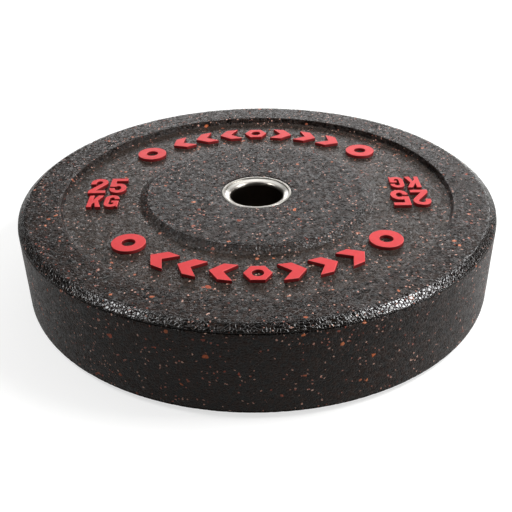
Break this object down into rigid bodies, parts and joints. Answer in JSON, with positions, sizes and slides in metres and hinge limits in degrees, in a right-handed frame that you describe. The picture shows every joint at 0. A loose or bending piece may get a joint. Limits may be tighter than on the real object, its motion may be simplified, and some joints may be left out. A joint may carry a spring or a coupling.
{
  "type": "bumper plate",
  "caption": "Round crumb rubber weight plate with a recessed web, raised hub, steel bore insert and raised red markings on both faces.",
  "frame": {"origin": "on the bore's axis at half the thickness, which is the centre of the bounding box", "axes": "+Z along the bore, out of the top face; X through the two weight markings, upright for a reader at -Y"},
  "size_m": [0.45, 0.45, 0.086],
  "materials": {
    "crumb_rubber": "pressed rubber crumb with red and pale flecks",
    "red_rubber": "moulded, matte",
    "stainless_steel": "turned",
    "plain_steel": "mill finish"
  },
  "bodies": {
    "root": {"rubber_disc": "crumb_rubber", "bore_sleeve": "stainless_steel", "hub_collar_top": "stainless_steel", "hub_collar_bottom": "stainless_steel", "anchor_plate": "plain_steel", "top_weight_left_2": "red_rubber", "top_weight_left_5": "red_rubber", "top_weight_left_K": "red_rubber", "top_weight_left_G": "red_rubber", "top_weight_right_2": "red_rubber", "top_weight_right_5": "red_rubber", "top_weight_right_K": "red_rubber", "top_weight_right_G": "red_rubber", "top_arc_back_hexagon": "red_rubber", "top_arc_back_chevron_left_1": "red_rubber", "top_arc_back_chevron_left_2": "red_rubber", "top_arc_back_chevron_left_3": "red_rubber", "top_arc_back_chevron_right_1": "red_rubber", "top_arc_back_chevron_right_2": "red_rubber", "top_arc_back_chevron_right_3": "red_rubber", "top_arc_back_ring_left": "red_rubber", "top_arc_back_ring_right": "red_rubber", "top_arc_front_hexagon": "red_rubber", "top_arc_front_chevron_left_1": "red_rubber", "top_arc_front_chevron_left_2": "red_rubber", "top_arc_front_chevron_left_3": "red_rubber", "top_arc_front_chevron_right_1": "red_rubber", "top_arc_front_chevron_right_2": "red_rubber", "top_arc_front_chevron_right_3": "red_rubber", "top_arc_front_ring_left": "red_rubber", "top_arc_front_ring_right": "red_rubber", "under_weight_left_2": "red_rubber", "under_weight_left_5": "red_rubber", "under_weight_left_K": "red_rubber", "under_weight_left_G": "red_rubber", "under_weight_right_2": "red_rubber", "under_weight_right_5": "red_rubber", "under_weight_right_K": "red_rubber", "under_weight_right_G": "red_rubber", "under_arc_back_hexagon": "red_rubber", "under_arc_back_chevron_left_1": "red_rubber", "under_arc_back_chevron_left_2": "red_rubber", "under_arc_back_chevron_left_3": "red_rubber", "under_arc_back_chevron_right_1": "red_rubber", "under_arc_back_chevron_right_2": "red_rubber", "under_arc_back_chevron_right_3": "red_rubber", "under_arc_back_ring_left": "red_rubber", "under_arc_back_ring_right": "red_rubber", "under_arc_front_hexagon": "red_rubber", "under_arc_front_chevron_left_1": "red_rubber", "under_arc_front_chevron_left_2": "red_rubber", "under_arc_front_chevron_left_3": "red_rubber", "under_arc_front_chevron_right_1": "red_rubber", "under_arc_front_chevron_right_2": "red_rubber", "under_arc_front_chevron_right_3": "red_rubber", "under_arc_front_ring_left": "red_rubber", "under_arc_front_ring_right": "red_rubber"}
  },
  "joints": []
}
